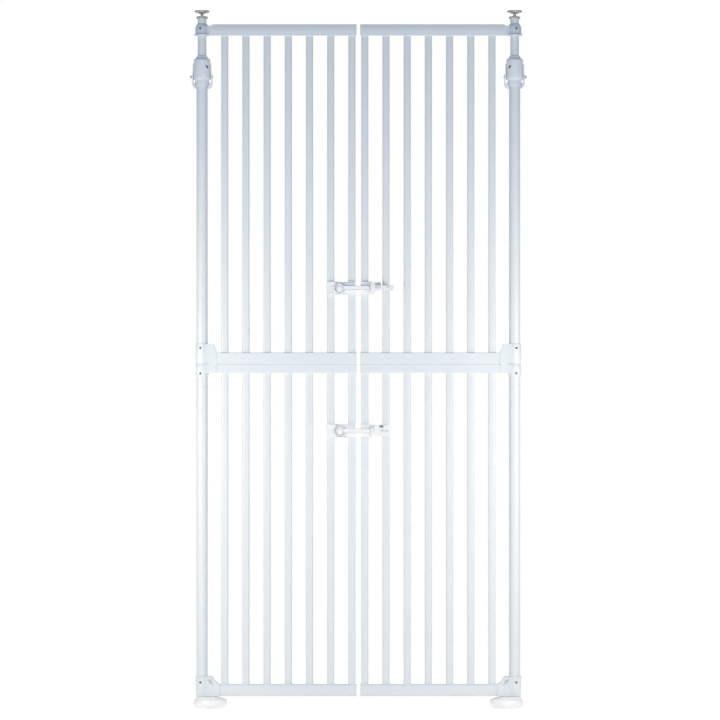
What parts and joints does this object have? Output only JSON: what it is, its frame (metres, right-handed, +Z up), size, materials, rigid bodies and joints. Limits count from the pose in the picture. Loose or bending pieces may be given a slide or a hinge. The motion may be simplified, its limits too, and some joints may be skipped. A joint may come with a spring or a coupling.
{
  "type": "pet gate",
  "caption": "Tall floor to ceiling pet gate: two barred doors that swing round braced telescopic poles, held shut by lift arm latches with slide locks.",
  "frame": {"origin": "on the floor, midway between the two poles, in the plane of their centres", "axes": "+Z up along the poles, +X from the left pole to the right one seen from the front, -Y towards the front, where the latches are"},
  "size_m": [0.8612, 0.0864, 1.784],
  "materials": {
    "pole_paint": "satin powder coat",
    "frame_paint": "satin powder coat",
    "bracket_plastic": "satin moulded",
    "clamp_plastic": "satin moulded",
    "foot_plastic": "gloss moulded",
    "latch_plastic": "satin moulded",
    "trim_plastic": "matte moulded",
    "plated_steel": "bright zinc plate",
    "screw_steel": "plated",
    "rubber": "matte"
  },
  "bodies": {
    "poles": {"left_bottom_tube": "pole_paint", "right_bottom_tube": "pole_paint", "left_middle_tube": "pole_paint", "right_middle_tube": "pole_paint", "tube_joiners": "trim_plastic", "left_foot": "foot_plastic", "right_foot": "foot_plastic", "foot_soles": "rubber", "left_clamp_housing": "clamp_plastic", "right_clamp_housing": "clamp_plastic", "clamp_collets": "trim_plastic", "jack_pins": "plated_steel"},
    "left_door": {"left_top_rail": "frame_paint", "left_upper_bars": "frame_paint", "left_upper_panel_rail": "frame_paint", "left_lower_panel_rail": "frame_paint", "left_lower_bars": "frame_paint", "left_bottom_rail": "frame_paint", "left_top_bracket": "bracket_plastic", "left_upper_panel_bracket": "bracket_plastic", "left_lower_panel_bracket": "bracket_plastic", "left_bottom_bracket": "bracket_plastic", "left_rail_caps": "trim_plastic", "left_door_screws": "screw_steel", "upper_latch_base": "latch_plastic", "lower_latch_base": "latch_plastic", "latch_clamps": "latch_plastic", "latch_pins": "latch_plastic"},
    "right_door": {"right_top_rail": "frame_paint", "right_upper_bars": "frame_paint", "right_upper_panel_rail": "frame_paint", "right_lower_panel_rail": "frame_paint", "right_lower_bars": "frame_paint", "right_bottom_rail": "frame_paint", "right_top_bracket": "bracket_plastic", "right_upper_panel_bracket": "bracket_plastic", "right_lower_panel_bracket": "bracket_plastic", "right_bottom_bracket": "bracket_plastic", "right_rail_caps": "trim_plastic", "right_door_screws": "screw_steel", "latch_keepers": "latch_plastic", "keeper_clamps": "latch_plastic"},
    "left_lever": {"left_jack_lever": "clamp_plastic"},
    "left_upper_pole": {"left_upper_tube": "pole_paint", "left_tube_plug": "trim_plastic"},
    "left_nut": {"left_thumb_nut": "plated_steel"},
    "left_adjuster": {"left_adjuster_rod": "plated_steel", "left_ceiling_disc": "plated_steel", "left_ceiling_pad": "rubber"},
    "right_lever": {"right_jack_lever": "clamp_plastic"},
    "right_upper_pole": {"right_upper_tube": "pole_paint", "right_tube_plug": "trim_plastic"},
    "right_nut": {"right_thumb_nut": "plated_steel"},
    "right_adjuster": {"right_adjuster_rod": "plated_steel", "right_ceiling_disc": "plated_steel", "right_ceiling_pad": "rubber"},
    "upper_arm": {"upper_latch_arm": "latch_plastic"},
    "lower_arm": {"lower_latch_arm": "latch_plastic"},
    "upper_lock": {"upper_slide_lock": "latch_plastic"},
    "lower_lock": {"lower_slide_lock": "latch_plastic"}
  },
  "joints": [
    {"name": "left_door_swing", "type": "hinge", "parent": "poles", "child": "left_door", "pos_m": [-0.4, 0, 0.9], "axis": [0, 0, 1], "range_deg": [-100, 0]},
    {"name": "right_door_swing", "type": "hinge", "parent": "poles", "child": "right_door", "pos_m": [0.4, 0, 0.9], "axis": [0, 0, 1], "range_deg": [-100, 0]},
    {"name": "upper_arm_lift", "type": "hinge", "parent": "left_door", "child": "upper_arm", "pos_m": [-0.047, -0.014, 1.074], "axis": [0, -1, 0], "range_deg": [0, 90]},
    {"name": "upper_lock_slide", "type": "slide", "parent": "right_door", "child": "upper_lock", "axis": [-1, 0, 0], "range_m": [0, 0.012]},
    {"name": "lower_arm_lift", "type": "hinge", "parent": "left_door", "child": "lower_arm", "pos_m": [-0.047, -0.014, 0.709], "axis": [0, -1, 0], "range_deg": [0, 90]},
    {"name": "lower_lock_slide", "type": "slide", "parent": "right_door", "child": "lower_lock", "axis": [-1, 0, 0], "range_m": [0, 0.012]},
    {"name": "left_lever_swing", "type": "hinge", "parent": "poles", "child": "left_lever", "pos_m": [-0.4, 0, 1.614], "axis": [1, 0, 0], "range_deg": [0, 75]},
    {"name": "left_pole_rise", "type": "slide", "parent": "poles", "child": "left_upper_pole", "axis": [0, 0, 1], "range_m": [0, 0.2]},
    {"name": "left_nut_turn", "type": "hinge", "parent": "left_upper_pole", "child": "left_nut", "pos_m": [-0.4, 0, 1.766], "axis": [0, 0, 1], "range_deg": [0, 5761]},
    {"name": "left_pad_rise", "type": "slide", "parent": "left_upper_pole", "child": "left_adjuster", "axis": [0, 0, 1], "range_m": [0, 0.02]},
    {"name": "right_lever_swing", "type": "hinge", "parent": "poles", "child": "right_lever", "pos_m": [0.4, 0, 1.614], "axis": [1, 0, 0], "range_deg": [0, 75]},
    {"name": "right_pole_rise", "type": "slide", "parent": "poles", "child": "right_upper_pole", "axis": [0, 0, 1], "range_m": [0, 0.2]},
    {"name": "right_nut_turn", "type": "hinge", "parent": "right_upper_pole", "child": "right_nut", "pos_m": [0.4, 0, 1.766], "axis": [0, 0, 1], "range_deg": [0, 5761]},
    {"name": "right_pad_rise", "type": "slide", "parent": "right_upper_pole", "child": "right_adjuster", "axis": [0, 0, 1], "range_m": [0, 0.02]}
  ],
  "couplings": [
    {"joint": "left_nut_turn", "follows": "left_pad_rise", "rad_per_m": 5026.5},
    {"joint": "right_nut_turn", "follows": "right_pad_rise", "rad_per_m": 5026.5}
  ]
}
